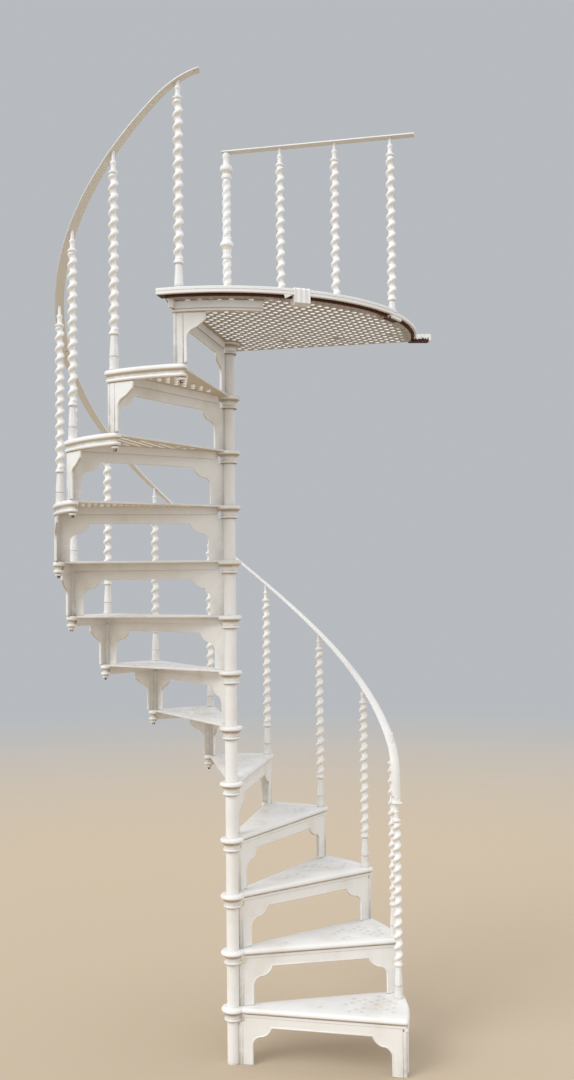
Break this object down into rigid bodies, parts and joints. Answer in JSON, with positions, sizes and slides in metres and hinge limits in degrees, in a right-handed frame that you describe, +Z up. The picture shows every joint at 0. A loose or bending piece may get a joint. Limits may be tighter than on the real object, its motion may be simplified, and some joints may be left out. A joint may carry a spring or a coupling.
{
  "type": "spiral staircase",
  "caption": "Cast-iron spiral staircase with pierced treads, arched risers, twisted balusters and a quarter landing",
  "frame": {"origin": "centre of the column's foot, on the ground", "axes": "+Z up; +X along the line from which the first tread is set out, 11 mm behind the first riser's face; the stair climbs anticlockwise seen from above"},
  "size_m": [1.4834, 1.4359, 3.634],
  "materials": {
    "tread_paint": "white gloss paint on cast iron, with clogged holes and small rust spots",
    "riser_paint": "white gloss paint on cast iron, cream where it has aged",
    "baluster_paint": "white gloss paint on cast iron",
    "rail_paint": "white gloss paint on wrought iron bar, rust at the joints"
  },
  "bodies": {
    "root": {"tread_01": "tread_paint", "tread_02": "tread_paint", "tread_03": "tread_paint", "tread_04": "tread_paint", "tread_05": "tread_paint", "tread_06": "tread_paint", "tread_07": "tread_paint", "tread_08": "tread_paint", "tread_09": "tread_paint", "tread_10": "tread_paint", "tread_11": "tread_paint", "tread_12": "tread_paint", "riser_01": "riser_paint", "riser_02": "riser_paint", "riser_03": "riser_paint", "riser_04": "riser_paint", "riser_05": "riser_paint", "riser_06": "riser_paint", "riser_07": "riser_paint", "riser_08": "riser_paint", "riser_09": "riser_paint", "riser_10": "riser_paint", "riser_11": "riser_paint", "riser_12": "riser_paint", "riser_13": "riser_paint", "column_drums": "riser_paint", "balusters_lower": "baluster_paint", "balusters_middle": "baluster_paint", "balusters_upper": "baluster_paint", "guard_balusters": "baluster_paint", "newel_post": "baluster_paint", "handrail_lower": "rail_paint", "handrail_middle": "rail_paint", "handrail_upper": "rail_paint", "guard_rail": "rail_paint", "landing_plate": "tread_paint", "landing_strip": "rail_paint", "landing_fascia": "tread_paint", "post_bolts": "riser_paint"}
  },
  "joints": []
}
